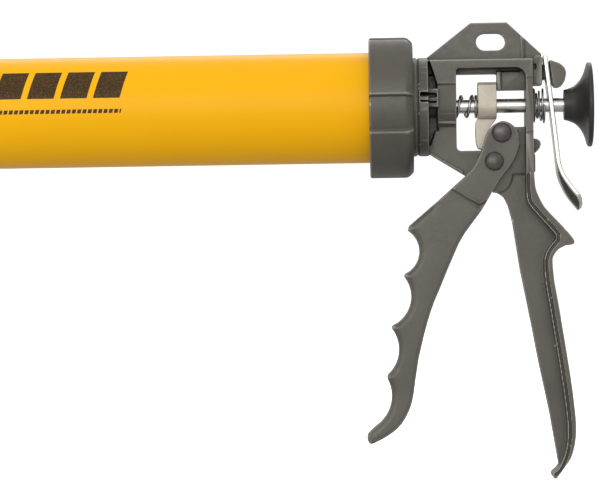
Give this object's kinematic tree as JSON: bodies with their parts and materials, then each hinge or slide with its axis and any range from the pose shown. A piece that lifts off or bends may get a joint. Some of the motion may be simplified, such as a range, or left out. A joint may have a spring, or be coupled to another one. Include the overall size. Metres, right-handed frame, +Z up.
{
  "type": "caulking gun",
  "caption": "Barrel caulking gun for foil packs: tube, screw rings, nozzle, die-cast handle, forked trigger, sliding rod with piston and knob, sprung release lever.",
  "frame": {"origin": "the palm saddle: the deepest point of the handle's rear face, just under the spur, where the web of the holding hand sits", "axes": "+X runs back along the push rod from the nozzle to the pull knob, +Z is up with the handle hanging down, +Y points to the gun's right side as seen by its user looking to -X"},
  "size_m": [0.5765, 0.0714, 0.2268],
  "materials": {
    "grey_powder_coat": "fine satin powder coat on die-cast aluminium, warm dark grey",
    "yellow_lacquer": "gloss yellow lacquer on an aluminium tube",
    "nozzle_plastic": "semi-matte moulded plastic",
    "dark_rivet": "dark oxidised steel, slightly glossy domes",
    "bright_steel": "bright zinc or nickel plate, fine lengthwise brushing",
    "spring_steel": "drawn spring wire, plated",
    "tan_sintered_steel": "sintered steel, tan passivated, fine grain",
    "black_plastic": "satin moulded plastic, brown black",
    "zinc_fasteners": "zinc plate",
    "piston_nylon": "grey nylon, moulded"
  },
  "bodies": {
    "body": {"body_casting": "grey_powder_coat", "return_spring": "spring_steel", "release_spring": "spring_steel"},
    "barrel": {"barrel": "yellow_lacquer", "rear_collar": "grey_powder_coat"},
    "nozzle": {"nozzle": "nozzle_plastic"},
    "front_cap": {"front_cap": "grey_powder_coat"},
    "trigger": {"trigger": "grey_powder_coat", "fulcrum_rivet": "dark_rivet", "drive_rivet": "dark_rivet"},
    "roller": {"drive_roller": "bright_steel"},
    "dog": {"drive_dog": "tan_sintered_steel"},
    "rod": {"push_rod": "bright_steel", "pull_knob": "black_plastic", "lock_nut": "zinc_fasteners", "piston_washer": "zinc_fasteners", "piston": "piston_nylon", "piston_plate": "zinc_fasteners", "back_nut": "zinc_fasteners"},
    "release_lever": {"release_lever": "bright_steel"}
  },
  "joints": [
    {"name": "trigger_pivot", "type": "hinge", "parent": "body", "child": "trigger", "pos_m": [-0.028, 0, 0.0501], "axis": [0, -1, 0], "range_deg": [0, 28], "stiffness_Nm_per_rad": 0.6, "springref_deg": -28.65},
    {"name": "roller_spin", "type": "hinge", "parent": "trigger", "child": "roller", "pos_m": [-0.0241, 0, 0.0642], "axis": [0, -1, 0], "range_deg": [-28.5, 0.5]},
    {"name": "dog_slide", "type": "slide", "parent": "body", "child": "dog", "axis": [-1, 0, 0], "range_m": [0, 0.0072], "deforming": ["return_spring"]},
    {"name": "rod_slide", "type": "slide", "parent": "body", "child": "rod", "axis": [1, 0, 0], "range_m": [-0.004, 0.33]},
    {"name": "release_lever_tilt", "type": "hinge", "parent": "body", "child": "release_lever", "pos_m": [-0.0017, 0, 0.101], "axis": [0, 1, 0], "range_deg": [0, 7.5], "stiffness_Nm_per_rad": 0.3, "springref_deg": -14.32, "deforming": ["release_spring"]},
    {"name": "barrel_swivel", "type": "hinge", "parent": "body", "child": "barrel", "pos_m": [-0.0738, 0, 0.078], "axis": [1, 0, 0], "continuous": true},
    {"name": "nozzle_travel", "type": "slide", "parent": "barrel", "child": "nozzle", "axis": [-1, 0, 0], "range_m": [0, 0.0061]},
    {"name": "cap_turn", "type": "hinge", "parent": "nozzle", "child": "front_cap", "pos_m": [-0.4462, 0, 0.078], "axis": [-1, 0, 0], "range_deg": [0, 720]}
  ],
  "couplings": [
    {"joint": "dog_slide", "follows": "trigger_pivot", "m_per_rad": 0.01446},
    {"joint": "roller_spin", "follows": "trigger_pivot", "ratio": -1},
    {"joint": "nozzle_travel", "follows": "cap_turn", "m_per_rad": 0.00047746}
  ]
}
